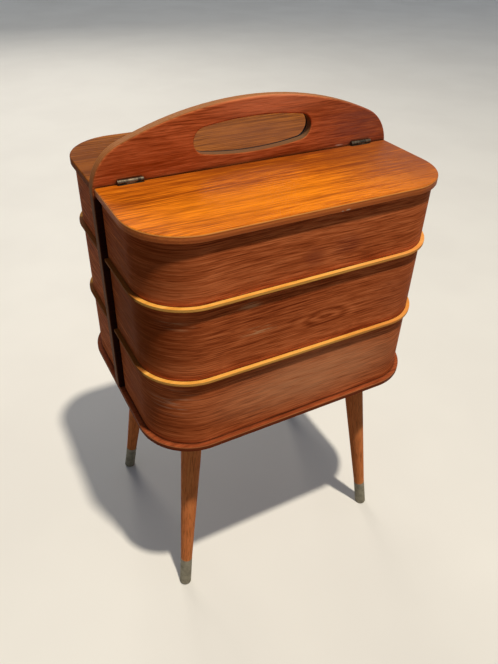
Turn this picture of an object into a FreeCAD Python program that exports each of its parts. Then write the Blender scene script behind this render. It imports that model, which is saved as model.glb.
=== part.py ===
import FreeCAD
import Part

import math
import os

# Sewing box on four splayed legs. A centre board with an arched, pierced top stands
# between two identical halves. Each half is a stack of three bentwood trays under a lid.
# The lids are hinged to the board. The upper two trays of each half swing out about a
# long bolt that stands up through the base plate and the bottom tray.
#
# Frame: X along the board, Y across it with the front half at negative Y, Z up from the
# floor, origin on the floor under the middle of the board. All sizes in millimetres.
# The rear half is the front half turned by half a turn about Z.

V = FreeCAD.Vector

# ---- driving dimensions ---------------------------------------------------------------

# overall plan
LID_LENGTH = 330.0           # lids and tray lips, along the board
HALF_DEPTH = 124.0           # face of the board to the front edge of a lid
CORNER_RADIUS = 57.5         # rounded outer corners of the lids and lips
BASE_OUTSET = 1.5            # base plate beyond the lids, all round
WALL_INSET = 4.0             # tray walls behind the edge of their lip
BACK_GAP = 4.4               # face of the board to the back of the trays
LID_BACK_GAP = 1.0           # face of the board to the back edge of a lid

# heights
LEG_HEIGHT = 255.5           # floor to the underside of the base plate
BASE_THICKNESS = 6.0
LOWER_TIER_HEIGHT = 81.6     # base plate or lip up to the next lip, bottom and middle tier
TOP_TIER_HEIGHT = 62.8       # top lip up to the underside of the lid
LIP_THICKNESS = 3.0
LID_THICKNESS = 7.5
TIER_GAP = 0.4               # running gap on top of the bottom and middle trays
LID_SEAT_GAP = 0.3           # rim of the top tray to the underside of the lid

# panels
WALL_THICKNESS = 5.0
LID_BEVEL = 0.8
BASE_TOP_BEVEL = 0.8

# centre board
BOARD_THICKNESS = 12.0
BOARD_OVERHANG = 2.0         # board ends beyond the ends of the lids
ARCH_RISE = 63.0             # crown of the arch above the top of the lids
ARCH_RADIUS = 360.0
ARCH_SHOULDER_RADIUS = 46.0
BOARD_BEVEL = 1.0
HAND_HOLE_LENGTH = 131.0
HAND_HOLE_HEIGHT = 34.5
HAND_HOLE_END_RADIUS = 13.0
HAND_HOLE_RISE = 27.8        # centre of the hand hole above the top of the lids
HAND_HOLE_BEVEL = 0.9

# swing pivots
BOLT_RADIUS = 2.5
BOLT_FROM_TRAY_BACK = 22.0
BOLT_FROM_LIP_END = 16.0
PIVOT_CORNER_RADIUS = 5.0    # back corner of a lip, which passes the board in the swing
BOLT_FIT = 0.06              # radial clearance of the bolt in the blocks
BOLT_HOLE_GAP = 0.6          # radial clearance of the bolt in the lips and the base
BLOCK_LENGTH = 16.0          # pivot block, along the board
BLOCK_BEYOND_BOLT = 11.0     # pivot block in front of the bolt
TOP_BLOCK_DROP = 17.0        # top block below the rim of its tray
FLANGE_RADIUS = 5.8
FLANGE_THICKNESS = 1.0
NUT_ACROSS_FLATS = 8.0
NUT_HEIGHT = 4.0
BOLT_HEAD_HEIGHT = 3.5
BOLT_END_PROJECTION = 1.5    # bolt above its nut

# lid hinges
HINGE_LENGTH = 25.0
HINGE_FROM_LID_END = 34.0    # middle of a hinge
HINGE_LEAF_THICKNESS = 1.0
KNUCKLE_RADIUS = 2.0
KNUCKLE_SIDES = 20           # flats of a knuckle, enough to look round
PIN_RISE = 2.3               # hinge pin above the top of the lid
PIN_RADIUS = 1.0
PIN_FIT = 0.04
KNUCKLE_SIDE_GAP = 0.15
KNUCKLE_RELIEF = 0.25        # leaf edge to the knuckle of the other leaf
LEAF_END_GAP = 0.5           # lower edge of the leaves above the underside of the lid
MORTISE_SIDE_GAP = 0.2

# packing between the bottom trays and the board
PACKING_FROM_LID_END = 25.0
PACKING_BELOW_RIM = 5.2

# legs
LEG_FROM_LID_END = 57.5      # leg axis at the underside of the base plate
LEG_FROM_LID_FRONT = 52.0
SPLAY_X = 32.5               # leg axis on the floor, outward of its top
SPLAY_Y = 31.5
LEG_FOOT_RADIUS = 6.0        # taper taken to the floor
LEG_TOP_RADIUS = 13.0        # taper taken to the base plate
LEG_SIDES = 24               # flats of the turned taper, enough to look round
TENON_WIDTH = 12.0
TENON_FIT = 0.05
TENON_LENGTH = 14.0
LEG_BLOCK_WIDTH = 46.0
LEG_BLOCK_HEIGHT = 16.0      # where the axis of the leg enters
FERRULE_HEIGHT = 41.0        # along the leg
SPIGOT_RADIUS = 6.4
FERRULE_WALL = 0.8
FERRULE_FIT = 0.05
FERRULE_FLOOR = 3.0          # end of the leg above the floor, along the leg
FERRULE_TOE = 1.2            # turned end below the floor, dressed away
FERRULE_BEVEL = 1.6

# ---- sizes that follow ----------------------------------------------------------------

LIP_END = LID_LENGTH / 2
BOARD_FACE = -BOARD_THICKNESS / 2                    # front face of the board
LIP_FRONT = BOARD_FACE - HALF_DEPTH
TRAY_BACK = BOARD_FACE - BACK_GAP
WALL_END = LIP_END - WALL_INSET
WALL_FRONT = LIP_FRONT + WALL_INSET
WALL_RADIUS = CORNER_RADIUS - WALL_INSET
INNER_END = WALL_END - WALL_THICKNESS
INNER_FRONT = WALL_FRONT + WALL_THICKNESS
INNER_RADIUS = WALL_RADIUS - WALL_THICKNESS

BASE_BOTTOM = LEG_HEIGHT
BASE_TOP = BASE_BOTTOM + BASE_THICKNESS
MIDDLE_LIP = BASE_TOP + LOWER_TIER_HEIGHT            # underside of the middle lip
MIDDLE_FLOOR = MIDDLE_LIP + LIP_THICKNESS
TOP_LIP = MIDDLE_FLOOR + LOWER_TIER_HEIGHT
TOP_FLOOR = TOP_LIP + LIP_THICKNESS
LID_BOTTOM = TOP_FLOOR + TOP_TIER_HEIGHT
LID_TOP = LID_BOTTOM + LID_THICKNESS
BOTTOM_RIM = MIDDLE_LIP - TIER_GAP
MIDDLE_RIM = TOP_LIP - TIER_GAP
TOP_RIM = LID_BOTTOM - LID_SEAT_GAP
TOP_BLOCK_TOP = TOP_RIM - TOP_BLOCK_DROP

BOLT_X = LIP_END - BOLT_FROM_LIP_END
BOLT_Y = TRAY_BACK - BOLT_FROM_TRAY_BACK
NUT_TOP = TOP_BLOCK_TOP + FLANGE_THICKNESS + NUT_HEIGHT
BOLT_TOP = NUT_TOP + BOLT_END_PROJECTION

HINGE_CENTRE = LIP_END - HINGE_FROM_LID_END          # from the middle of the board
PIN_Y = BOARD_FACE - KNUCKLE_RADIUS
PIN_Z = LID_TOP + PIN_RISE
LID_LEAF_BACK = PIN_Y - KNUCKLE_RADIUS               # face of the lid leaf on the wood
PACKING_END = LIP_END - PACKING_FROM_LID_END
PACKING_TOP = BOTTOM_RIM - PACKING_BELOW_RIM

LEG_TOP_X = LIP_END - LEG_FROM_LID_END
LEG_TOP_Y = -LIP_FRONT - LEG_FROM_LID_FRONT
FOOT_X = LEG_TOP_X + SPLAY_X
FOOT_Y = LEG_TOP_Y + SPLAY_Y
LEG_BLOCK_BOTTOM = BASE_BOTTOM - LEG_BLOCK_HEIGHT

UP = V(0, 0, 1)
TINY = 1e-4                  # lengths closer than this count as equal
CUT = 1.0                    # cutters run past the piece by this much


# ---- helpers --------------------------------------------------------------------------

def line(a, b):
    return Part.makeLine(V(*a), V(*b))


def arc(a, middle, b):
    return Part.Arc(V(*a), V(*middle), V(*b)).toShape()


def box(low, high):
    return Part.makeBox(high[0] - low[0], high[1] - low[1], high[2] - low[2], V(*low))


def cylinder(radius, start, end):
    along = end.sub(start)
    return Part.makeCylinder(radius, along.Length, start, along)


def flat_sided_bar(sides, radius, start, end):
    """Bar with equal flats all round, its corners on the radius."""
    along = end.sub(start)
    turn = 2 * math.pi / sides
    corners = [V(radius * math.cos(turn * (k + 0.5)), radius * math.sin(turn * (k + 0.5)), 0)
               for k in range(sides + 1)]
    bar = Part.Face(Part.makePolygon(corners)).extrude(V(0, 0, along.Length))
    bar.Placement = FreeCAD.Placement(start, FreeCAD.Rotation(UP, along))
    return bar


def turned(shape):
    """The same shape in the other half of the box."""
    copy = shape.copy()
    copy.rotate(V(0, 0, 0), UP, 180)
    return copy


def half_outline(end, back, front, radius):
    """D-shaped outline of a lid, lip or wall: straight back, rounded front corners."""
    side = front + radius
    centre = end - radius
    reach = radius * math.sqrt(0.5)
    return Part.Wire([
        line((-end, back, 0), (end, back, 0)),
        line((end, back, 0), (end, side, 0)),
        arc((end, side, 0), (centre + reach, side - reach, 0), (centre, front, 0)),
        line((centre, front, 0), (-centre, front, 0)),
        arc((-centre, front, 0), (-centre - reach, side - reach, 0), (-end, side, 0)),
        line((-end, side, 0), (-end, back, 0)),
    ])


def panel(outline, bottom, thickness):
    """Flat board of the outline, its underside at the height bottom."""
    solid = Part.Face(outline).extrude(V(0, 0, thickness))
    solid.translate(V(0, 0, bottom))
    return solid


def rim_edges(solid, height, back):
    """Edges of a panel at one height, without those along its back."""
    found = []
    for edge in solid.Edges:
        span = edge.BoundBox
        level = abs(span.ZMin - height) < TINY and abs(span.ZMax - height) < TINY
        at_back = abs(span.YMin - back) < TINY and abs(span.YMax - back) < TINY
        if level and not at_back:
            found.append(edge)
    return found


def upright_at(edge, foot):
    """Whether a straight upright edge stands on a point."""
    nearest = min(vertex.Point.distanceToPoint(foot) for vertex in edge.Vertexes)
    return edge.BoundBox.ZLength > TINY and nearest < TINY


def without(solid, cutters):
    """The solid with every cutter taken out of it."""
    for cutter in cutters:
        solid = solid.cut(cutter)
    return solid


def save(name, solids):
    """One STEP file for a node; several solids are written as one group."""
    shape = solids[0] if len(solids) == 1 else Part.makeCompound(solids)
    shape.exportStep(os.path.join("parts", name + ".step"))


# ---- trays ----------------------------------------------------------------------------

def bent_wall(floor, rim):
    """Front and both ends of a tray, bent from one strip, open at the back."""
    outside = panel(half_outline(WALL_END, TRAY_BACK, WALL_FRONT, WALL_RADIUS), floor, rim - floor)
    inside = panel(half_outline(INNER_END, TRAY_BACK + CUT, INNER_FRONT, INNER_RADIUS),
                   floor - CUT, rim - floor + 2 * CUT)
    return outside.cut(inside)


def back_wall(floor, rim):
    """Straight back of a tray, let in between the ends of the bent wall."""
    return box((-INNER_END, TRAY_BACK - WALL_THICKNESS, floor), (INNER_END, TRAY_BACK, rim))


def tray_bottom(underside):
    """Tray bottom whose edge stands out past the walls as a lip."""
    plate = panel(half_outline(LIP_END, TRAY_BACK, LIP_FRONT, CORNER_RADIUS), underside, LIP_THICKNESS)
    corner = V(LIP_END, TRAY_BACK, underside)
    plate = plate.makeFillet(PIVOT_CORNER_RADIUS, [edge for edge in plate.Edges if upright_at(edge, corner)])
    hole = round_bar(BOLT_RADIUS + BOLT_HOLE_GAP, underside - CUT, underside + LIP_THICKNESS + CUT)
    return plate.cut(hole)


def pivot_block(floor, top):
    """Hardwood block in the tray's back corner, bored for the bolt."""
    block = box((INNER_END - BLOCK_LENGTH, BOLT_Y - BLOCK_BEYOND_BOLT, floor),
                (INNER_END, TRAY_BACK - WALL_THICKNESS, top))
    return block.cut(round_bar(BOLT_RADIUS + BOLT_FIT, floor - CUT, top + CUT))


def swinging_tray(underside, rim, block_top):
    """The four pieces of a tray that turns on the bolt."""
    floor = underside + LIP_THICKNESS
    return {
        "bottom": tray_bottom(underside),
        "bent_wall": bent_wall(floor, rim),
        "back_wall": back_wall(floor, rim),
        "pivot_block": pivot_block(floor, block_top),
    }


# ---- pivot bolt -----------------------------------------------------------------------

def round_bar(radius, low, high):
    """Upright cylinder on the bolt's axis."""
    return cylinder(radius, V(BOLT_X, BOLT_Y, low), V(BOLT_X, BOLT_Y, high))


def hexagon(bottom, height):
    """Hexagonal prism on the bolt's axis."""
    return flat_sided_bar(6, NUT_ACROSS_FLATS / math.sqrt(3),
                          V(BOLT_X, BOLT_Y, bottom), V(BOLT_X, BOLT_Y, bottom + height))


def pivot_bolt():
    head = hexagon(BASE_BOTTOM - BOLT_HEAD_HEIGHT, BOLT_HEAD_HEIGHT)
    return head.fuse(round_bar(BOLT_RADIUS, BASE_BOTTOM, BOLT_TOP))


def flange_nut():
    flange = round_bar(FLANGE_RADIUS, TOP_BLOCK_TOP, TOP_BLOCK_TOP + FLANGE_THICKNESS)
    nut = flange.fuse(hexagon(TOP_BLOCK_TOP + FLANGE_THICKNESS, NUT_HEIGHT))
    return nut.cut(round_bar(BOLT_RADIUS, TOP_BLOCK_TOP - CUT, BOLT_TOP))


# ---- lids and hinges ------------------------------------------------------------------

def hinge_centres():
    return (-HINGE_CENTRE, HINGE_CENTRE)


def knuckle_spans(centre):
    """The three knuckles of a hinge from left to right, as start and end."""
    pitch = HINGE_LENGTH / 3
    left = centre - HINGE_LENGTH / 2
    return [(left + pitch * k + KNUCKLE_SIDE_GAP * (k > 0),
             left + pitch * (k + 1) - KNUCKLE_SIDE_GAP * (k < 2)) for k in range(3)]


def leaf(centre, face, outward, own, other):
    """Hinge leaf: flat plate that rolls over into its own knuckles, cut clear of the others."""
    low, high = sorted((face, face + outward * HINGE_LEAF_THICKNESS))
    left = centre - HINGE_LENGTH / 2
    plate = box((left, low, LID_BOTTOM + LEAF_END_GAP), (left + HINGE_LENGTH, high, PIN_Z))
    for start, end in own:
        plate = plate.fuse(flat_sided_bar(KNUCKLE_SIDES, KNUCKLE_RADIUS,
                                          V(start, PIN_Y, PIN_Z), V(end, PIN_Y, PIN_Z)))
    for start, end in other:
        relief = KNUCKLE_RADIUS + KNUCKLE_RELIEF
        plate = plate.cut(box((start - KNUCKLE_SIDE_GAP, low - CUT, PIN_Z - relief),
                              (end + KNUCKLE_SIDE_GAP, high + CUT, PIN_Z + relief)))
    bore = cylinder(PIN_RADIUS + PIN_FIT, V(left - CUT, PIN_Y, PIN_Z),
                    V(left + HINGE_LENGTH + CUT, PIN_Y, PIN_Z))
    return plate.cut(bore).removeSplitter()


def board_leaf(centre):
    first, middle, last = knuckle_spans(centre)
    return leaf(centre, BOARD_FACE, -1, (first, last), (middle,))


def lid_leaf(centre):
    first, middle, last = knuckle_spans(centre)
    return leaf(centre, LID_LEAF_BACK, 1, (middle,), (first, last))


def hinge_pin(centre):
    half = HINGE_LENGTH / 2
    return cylinder(PIN_RADIUS, V(centre - half, PIN_Y, PIN_Z), V(centre + half, PIN_Y, PIN_Z))


def lid():
    """Lid with a bevelled upper edge and a mortise for each hinge in its back edge."""
    back = BOARD_FACE - LID_BACK_GAP
    slab = panel(half_outline(LIP_END, back, LIP_FRONT, CORNER_RADIUS), LID_BOTTOM, LID_THICKNESS)
    slab = slab.makeChamfer(LID_BEVEL, rim_edges(slab, LID_TOP, back))
    half = HINGE_LENGTH / 2 + MORTISE_SIDE_GAP
    mortises = [box((centre - half, LID_LEAF_BACK, LID_BOTTOM - CUT),
                    (centre + half, back + CUT, LID_TOP + CUT)) for centre in hinge_centres()]
    return without(slab, mortises)


# ---- centre board ---------------------------------------------------------------------

def arch_outline():
    """Board from the base plate up: straight ends, tight shoulders, one broad arc."""
    half = LIP_END + BOARD_OVERHANG
    crown = LID_TOP + ARCH_RISE
    arch_centre = crown - ARCH_RADIUS
    shoulder_x = half - ARCH_SHOULDER_RADIUS
    reach = ARCH_RADIUS - ARCH_SHOULDER_RADIUS
    shoulder_z = arch_centre + math.sqrt(reach ** 2 - shoulder_x ** 2)
    lean = math.asin(shoulder_x / reach)
    join_x = ARCH_RADIUS * math.sin(lean)
    join_z = arch_centre + ARCH_RADIUS * math.cos(lean)
    middle = (lean + math.pi / 2) / 2
    middle_x = shoulder_x + ARCH_SHOULDER_RADIUS * math.sin(middle)
    middle_z = shoulder_z + ARCH_SHOULDER_RADIUS * math.cos(middle)
    y = BOARD_FACE
    return Part.Wire([
        line((-half, y, BASE_TOP), (half, y, BASE_TOP)),
        line((half, y, BASE_TOP), (half, y, shoulder_z)),
        arc((half, y, shoulder_z), (middle_x, y, middle_z), (join_x, y, join_z)),
        arc((join_x, y, join_z), (0, y, crown), (-join_x, y, join_z)),
        arc((-join_x, y, join_z), (-middle_x, y, middle_z), (-half, y, shoulder_z)),
        line((-half, y, shoulder_z), (-half, y, BASE_TOP)),
    ])


def hand_hole_outline():
    """Long oval of four tangent arcs."""
    half, rise, end = HAND_HOLE_LENGTH / 2, HAND_HOLE_HEIGHT / 2, HAND_HOLE_END_RADIUS
    end_x = half - end
    flat = (end_x ** 2 + rise ** 2 - end ** 2) / (2 * (rise - end))     # radius of the long arcs
    lean = math.asin(end_x / (flat - end))
    join_x = flat * math.sin(lean)
    join_z = rise - flat + flat * math.cos(lean)
    y, z = BOARD_FACE, LID_TOP + HAND_HOLE_RISE
    return Part.Wire([
        arc((-join_x, y, z + join_z), (0, y, z + rise), (join_x, y, z + join_z)),
        arc((join_x, y, z + join_z), (half, y, z), (join_x, y, z - join_z)),
        arc((join_x, y, z - join_z), (0, y, z - rise), (-join_x, y, z - join_z)),
        arc((-join_x, y, z - join_z), (-half, y, z), (-join_x, y, z + join_z)),
    ])


def face_edges(solid, above):
    """Edges in the two faces of the board that reach above a height."""
    return [edge for edge in solid.Edges
            if edge.BoundBox.YLength < TINY and edge.BoundBox.ZMax > above + TINY]


def handle_board():
    across = V(0, BOARD_THICKNESS, 0)
    hole = Part.Face(hand_hole_outline()).extrude(across)
    board = Part.Face(arch_outline()).extrude(across)
    board = board.makeChamfer(BOARD_BEVEL, face_edges(board, BASE_TOP))
    reach = LIP_END - ARCH_SHOULDER_RADIUS
    pierced = board.cut(hole)
    rims = [edge for edge in face_edges(pierced, LID_TOP)
            if edge.BoundBox.XMax < reach and edge.BoundBox.XMin > -reach]
    return pierced.makeChamfer(HAND_HOLE_BEVEL, rims)


# ---- base and packing -----------------------------------------------------------------

def base_outline():
    """Rectangle with four rounded corners, under both halves."""
    end = LIP_END + BASE_OUTSET
    front = LIP_FRONT - BASE_OUTSET
    radius = CORNER_RADIUS + BASE_OUTSET
    side, centre = front + radius, end - radius
    reach = radius * math.sqrt(0.5)
    half = [
        line((end, 0, 0), (end, side, 0)),
        arc((end, side, 0), (centre + reach, side - reach, 0), (centre, front, 0)),
        line((centre, front, 0), (-centre, front, 0)),
        arc((-centre, front, 0), (-centre - reach, side - reach, 0), (-end, side, 0)),
        line((-end, side, 0), (-end, 0, 0)),
    ]
    return Part.Wire(half + [turned(edge) for edge in half])


def base_plate():
    plate = panel(base_outline(), BASE_BOTTOM, BASE_THICKNESS)
    plate = plate.makeChamfer(BASE_TOP_BEVEL, rim_edges(plate, BASE_TOP, 0))
    hole = round_bar(BOLT_RADIUS + BOLT_HOLE_GAP, BASE_BOTTOM - CUT, BASE_TOP + CUT)
    return without(plate, [hole, turned(hole)])


def packing_strip():
    return box((-PACKING_END, TRAY_BACK, BASE_TOP), (PACKING_END, BOARD_FACE, PACKING_TOP))


# ---- legs -----------------------------------------------------------------------------

class Leg:
    """One splayed leg with its ferrule and the block that holds its tenon."""

    def __init__(self, side_x, side_y):
        self.foot = V(side_x * FOOT_X, side_y * FOOT_Y, 0)
        self.head = V(side_x * LEG_TOP_X, side_y * LEG_TOP_Y, BASE_BOTTOM)
        self.length = self.head.sub(self.foot).Length
        self.shoulder = self.length * LEG_BLOCK_BOTTOM / BASE_BOTTOM
        axis = self.head.sub(self.foot)
        self.placement = FreeCAD.Placement(self.foot, FreeCAD.Rotation(UP, axis))

    def placed(self, solid):
        """Set a solid that was made upright on the origin onto the leg's axis."""
        solid.Placement = self.placement
        return solid

    def section(self, along):
        """Corners of the many-sided cross-section of the taper at a distance from the floor."""
        radius = LEG_FOOT_RADIUS + (LEG_TOP_RADIUS - LEG_FOOT_RADIUS) * along / self.length
        turn = 2 * math.pi / LEG_SIDES
        return [V(radius * math.cos(turn * k), radius * math.sin(turn * k), along)
                for k in range(LEG_SIDES + 1)]

    def taper(self, low, high):
        lower, upper = self.section(low), self.section(high)
        rings = [lower, upper]
        rings += [[lower[k], lower[k + 1], upper[k + 1], upper[k], lower[k]] for k in range(LEG_SIDES)]
        return Part.makeSolid(Part.makeShell([Part.Face(Part.makePolygon(ring)) for ring in rings]))

    def tenon(self, half, end):
        return box((-half, -half, self.shoulder), (half, half, end))

    def wood(self):
        """Tapered leg with a spigot for the ferrule, a square shoulder and a square tenon."""
        taper = self.taper(FERRULE_HEIGHT, self.shoulder)
        spigot = Part.makeCylinder(SPIGOT_RADIUS, FERRULE_HEIGHT - FERRULE_FLOOR, V(0, 0, FERRULE_FLOOR))
        tenon = self.tenon(TENON_WIDTH / 2, self.shoulder + TENON_LENGTH)
        return self.placed(taper.fuse(spigot).fuse(tenon))

    def block(self):
        """Block under the base, its lower face planed square to the leg, mortised for the tenon."""
        half = LEG_BLOCK_WIDTH / 2
        solid = box((self.head.x - half, self.head.y - half, BASE_BOTTOM - 2 * LEG_BLOCK_HEIGHT),
                    (self.head.x + half, self.head.y + half, BASE_BOTTOM))
        reach = 2 * LEG_BLOCK_WIDTH
        below = self.placed(box((-reach, -reach, 0), (reach, reach, self.shoulder)))
        mortise = self.placed(self.tenon(TENON_WIDTH / 2 + TENON_FIT, self.length + LEG_BLOCK_HEIGHT))
        return without(solid, [below, mortise])

    def ferrule(self):
        """Drawn metal cup pushed over the spigot and dressed flat on the floor."""
        inside = SPIGOT_RADIUS + FERRULE_FIT
        outside = inside + FERRULE_WALL
        toe = FERRULE_BEVEL - FERRULE_TOE
        cup = Part.makeCone(outside - FERRULE_BEVEL, outside, FERRULE_BEVEL, V(0, 0, -FERRULE_TOE))
        cup = cup.fuse(Part.makeCylinder(outside, FERRULE_HEIGHT - toe, V(0, 0, toe)))
        cup = cup.cut(Part.makeCylinder(inside, FERRULE_HEIGHT, V(0, 0, FERRULE_FLOOR)))
        reach = 2 * FERRULE_HEIGHT
        floor = box((self.foot.x - reach, self.foot.y - reach, -reach),
                    (self.foot.x + reach, self.foot.y + reach, 0))
        return self.placed(cup).cut(floor)


# ---- the whole box --------------------------------------------------------------------

def save_half(half, place):
    """Write the pieces of one half, each put in its place in the box."""
    centres = hinge_centres()
    pieces = {
        "lid": [lid()],
        "lid_hinge_leaves": [lid_leaf(centre) for centre in centres],
        "board_hinge_leaves": [board_leaf(centre) for centre in centres],
        "hinge_pins": [hinge_pin(centre) for centre in centres],
        "bottom_tray_bent_wall": [bent_wall(BASE_TOP, BOTTOM_RIM)],
        "bottom_tray_back_wall": [back_wall(BASE_TOP, BOTTOM_RIM)],
        "bottom_tray_pivot_block": [pivot_block(BASE_TOP, MIDDLE_LIP)],
        "packing_strip": [packing_strip()],
        "pivot_bolt": [pivot_bolt()],
    }
    trays = {"middle_tray": swinging_tray(MIDDLE_LIP, MIDDLE_RIM, TOP_LIP),
             "top_tray": swinging_tray(TOP_LIP, TOP_RIM, TOP_BLOCK_TOP)}
    for tray, parts in trays.items():
        for part, solid in parts.items():
            pieces[tray + "_" + part] = [solid]
    for name, solids in pieces.items():
        save(half + "_" + name, [place(solid) for solid in solids])


def save_legs():
    places = {"front_left": (-1, -1), "front_right": (1, -1), "rear_left": (-1, 1), "rear_right": (1, 1)}
    legs = {name: Leg(side_x, side_y) for name, (side_x, side_y) in places.items()}
    for name, leg in legs.items():
        save("leg_" + name, [leg.wood()])
        save("leg_block_" + name, [leg.block()])
    save("leg_ferrules", [leg.ferrule() for leg in legs.values()])


def main():
    os.makedirs("parts", exist_ok=True)
    save("handle_board", [handle_board()])
    save("base_plate", [base_plate()])
    save_half("front", lambda shape: shape)
    save_half("rear", turned)
    save_legs()
    save("pivot_nuts", [flange_nut(), turned(flange_nut())])


main()
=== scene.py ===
"""Looks of a sewing box: a centre board with two stacks of swinging trays under lids, on four legs.

Metres throughout. X runs along the centre board, Y from the front half to the rear half, Z up from
the floor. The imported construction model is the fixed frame; this file gives it its finishes, adds
the small screws, and sets up the floor, the lamps and the camera.
"""

import logging  # noqa: E402
import math  # noqa: E402
from dataclasses import dataclass  # noqa: E402
from enum import Enum  # noqa: E402
from typing import Callable, ClassVar, Optional, Union  # noqa: E402

import bpy  # noqa: E402
from mathutils import Matrix, Vector  # noqa: E402


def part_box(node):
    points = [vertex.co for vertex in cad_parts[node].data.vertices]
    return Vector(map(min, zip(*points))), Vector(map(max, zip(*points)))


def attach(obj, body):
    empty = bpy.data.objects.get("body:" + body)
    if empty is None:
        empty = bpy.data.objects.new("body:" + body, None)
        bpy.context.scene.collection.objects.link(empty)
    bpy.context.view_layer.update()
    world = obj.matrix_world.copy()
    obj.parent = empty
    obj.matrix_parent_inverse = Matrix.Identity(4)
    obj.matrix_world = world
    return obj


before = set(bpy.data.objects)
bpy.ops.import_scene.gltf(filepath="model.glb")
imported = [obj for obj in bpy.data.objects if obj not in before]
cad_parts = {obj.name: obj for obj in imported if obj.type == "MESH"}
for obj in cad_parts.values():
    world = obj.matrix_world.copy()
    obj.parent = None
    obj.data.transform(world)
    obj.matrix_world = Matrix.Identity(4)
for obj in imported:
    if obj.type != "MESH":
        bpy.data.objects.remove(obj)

log = logging.getLogger("sewing_box")

Colour = tuple[float, float, float]
Triple = tuple[float, float, float]
Socket = bpy.types.NodeSocket
Value = Union[Socket, float, Colour]

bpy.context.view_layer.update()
MM = 0.001


# ---- named choices ---------------------------------------------------------------------------


class Half(Enum):
    """The two halves of the box; the rear one is the front one turned by half a turn."""

    FRONT = 1
    REAR = -1

    @property
    def word(self) -> str:
        """The half's name as it starts the names of its pieces."""
        return self.name.lower()

    def placed(self, x: float, y: float, z: float) -> Vector:
        """Turn a point of the front half, whose y is negative, into the same point of this half."""
        return Vector((x * self.value, y * self.value, z))


class Grain(Enum):
    """Which way the grain of a wooden piece runs; a 1 marks a direction in which the lines are long."""

    ALONG_BOARD = (1, 0, 0)
    ROUND_THE_BEND = (1, 1, 0)
    UP_THE_LEG = (0, 0, 1)

    def frequencies(self, long: float, fine: float) -> Triple:
        """Cycles per metre along X, Y and Z, from those with the grain and those across it."""
        return tuple(long if runs else fine for runs in self.value)

    def wander(self, distance: float) -> Triple:
        """How far lines may stray across the grain, as a vector of distances."""
        return tuple(0.0 if runs else distance for runs in self.value)


class Stack(Enum):
    """The axis in which the plies of a board are stacked."""

    UPRIGHT = (0, 0, 1)
    ACROSS = (0, 1, 0)


# ---- node graphs -----------------------------------------------------------------------------


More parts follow.
